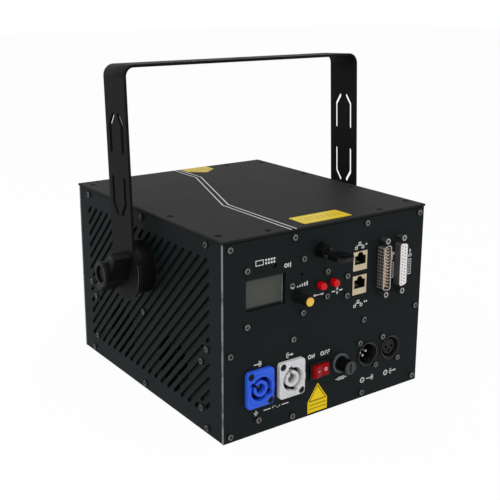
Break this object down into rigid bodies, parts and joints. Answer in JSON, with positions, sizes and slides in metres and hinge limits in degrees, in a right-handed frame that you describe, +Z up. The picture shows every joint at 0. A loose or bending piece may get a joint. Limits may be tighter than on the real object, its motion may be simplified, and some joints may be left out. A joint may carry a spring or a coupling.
{
  "type": "laser show projector",
  "caption": "Black box-shaped laser show projector with slotted sides, a swinging strap yoke on hand knobs, and a rear panel of display, key switch and sockets.",
  "frame": {"origin": "middle of the flat underside of the case", "axes": "+Z up, the beam leaves along +Y, the connector panel faces -Y, +X is the right side seen from behind"},
  "size_m": [0.29, 0.2825, 0.2851],
  "materials": {
    "case_paint": "satin powder coat, fine grain",
    "lid_paint": "satin powder coat, fine grain",
    "yoke_paint": "matt powder coat",
    "frame_metal": "mill finish",
    "heat_sink": "black anodised",
    "black_steel": "blackened socket screws",
    "bright_steel": "plated",
    "nickel": "nickel plated shell",
    "gold_contact": "gold flashed",
    "black_plastic": "moulded",
    "black_gloss": "moulded",
    "blue_plastic": "moulded",
    "white_plastic": "moulded",
    "red_plastic": "moulded",
    "yellow_plastic": "moulded",
    "screen": "unlit display",
    "board": "printed circuit",
    "window": "clear",
    "mirror": "front surface"
  },
  "bodies": {
    "case": {"base_plate": "frame_metal", "top_cover": "lid_paint", "left_panel": "case_paint", "right_panel": "case_paint", "rear_panel": "case_paint", "front_panel": "case_paint", "frame_posts": "frame_metal", "frame_rails": "frame_metal", "pivot_plates": "frame_metal", "pivot_spacers": "black_plastic", "top_screws": "black_steel", "side_screws": "black_steel", "rear_screws": "black_steel", "front_screws": "black_steel", "fan_plate": "frame_metal", "fan_frames": "black_plastic", "window_bezel": "case_paint", "window_glass": "window", "display_frame": "black_plastic", "display_screen": "screen", "panel_boards": "board", "standoffs": "bright_steel", "encoder_body": "bright_steel", "button_switches": "black_plastic", "lock_barrel": "black_gloss", "network_jacks": "nickel", "data_shells": "nickel", "data_plug_insert": "black_plastic", "data_socket_insert": "white_plastic", "jackscrews": "bright_steel", "contact_pins": "gold_contact", "power_inlet": "blue_plastic", "power_outlet": "white_plastic", "signal_shells": "black_gloss", "signal_inserts": "black_plastic", "rocker_frame": "black_plastic", "fuse_holder": "black_gloss", "optical_bench": "heat_sink", "laser_modules": "heat_sink", "mirror_mounts": "frame_metal", "combiner_mirrors": "mirror", "scanner_block": "heat_sink", "scanner_motors": "bright_steel", "power_supply": "frame_metal", "driver_boards": "board"},
    "yoke": {"yoke": "yoke_paint"},
    "left_knob": {"left_knob": "black_plastic"},
    "right_knob": {"right_knob": "black_plastic"},
    "encoder_shaft": {"encoder_shaft": "bright_steel"},
    "function_knob": {"function_knob": "black_plastic", "knob_cap": "yellow_plastic"},
    "x_button": {"x_button": "red_plastic"},
    "y_button": {"y_button": "red_plastic"},
    "key": {"key": "black_gloss"},
    "rocker": {"rocker": "red_plastic"},
    "fuse_cap": {"fuse_cap": "black_plastic"},
    "x_scan_rotor": {"x_scan_rotor": "mirror"},
    "y_scan_rotor": {"y_scan_rotor": "mirror"},
    "rear_fan_rotor": {"rear_fan_rotor": "black_plastic"},
    "front_fan_rotor": {"front_fan_rotor": "black_plastic"}
  },
  "joints": [
    {"name": "yoke_tilt", "type": "hinge", "parent": "case", "child": "yoke", "pos_m": [0, 0, 0.114], "axis": [1, 0, 0], "range_deg": [-112.5, 117.5]},
    {"name": "left_knob_turn", "type": "hinge", "parent": "case", "child": "left_knob", "pos_m": [-0.124, 0, 0.114], "axis": [-1, 0, 0], "range_deg": [0, 360]},
    {"name": "right_knob_turn", "type": "hinge", "parent": "case", "child": "right_knob", "pos_m": [0.124, 0, 0.114], "axis": [1, 0, 0], "range_deg": [0, 360]},
    {"name": "encoder_push", "type": "slide", "parent": "case", "child": "encoder_shaft", "axis": [0, 1, 0], "range_m": [0, 0.0005], "stiffness_N_per_m": 1500, "springref_m": -0.001},
    {"name": "function_turn", "type": "hinge", "parent": "encoder_shaft", "child": "function_knob", "pos_m": [-0.0331, -0.13, 0.1073], "axis": [0, 1, 0], "continuous": true},
    {"name": "x_button_push", "type": "slide", "parent": "case", "child": "x_button", "axis": [0, 1, 0], "range_m": [0, 0.002], "stiffness_N_per_m": 800, "springref_m": -0.002},
    {"name": "y_button_push", "type": "slide", "parent": "case", "child": "y_button", "axis": [0, 1, 0], "range_m": [0, 0.002], "stiffness_N_per_m": 800, "springref_m": -0.002},
    {"name": "key_turn", "type": "hinge", "parent": "case", "child": "key", "pos_m": [-0.0105, -0.1325, 0.142], "axis": [0, 1, 0], "range_deg": [0, 90]},
    {"name": "rocker_tip", "type": "hinge", "parent": "case", "child": "rocker", "pos_m": [-0.01, -0.1231, 0.0397], "axis": [0, 0, -1], "range_deg": [0, 18]},
    {"name": "fuse_turn", "type": "hinge", "parent": "case", "child": "fuse_cap", "pos_m": [0.0128, -0.13, 0.0394], "axis": [0, -1, 0], "range_deg": [0, 60]},
    {"name": "x_scan", "type": "hinge", "parent": "case", "child": "x_scan_rotor", "pos_m": [0, 0.06, 0.088], "axis": [0, 1, 0], "range_deg": [-12, 12]},
    {"name": "y_scan", "type": "hinge", "parent": "case", "child": "y_scan_rotor", "pos_m": [0, 0.06, 0.102], "axis": [1, 0, 0], "range_deg": [-12, 12]},
    {"name": "rear_fan_spin", "type": "hinge", "parent": "case", "child": "rear_fan_rotor", "pos_m": [-0.097, -0.045, 0.04], "axis": [1, 0, 0], "continuous": true},
    {"name": "front_fan_spin", "type": "hinge", "parent": "case", "child": "front_fan_rotor", "pos_m": [-0.097, 0.045, 0.04], "axis": [1, 0, 0], "continuous": true}
  ]
}
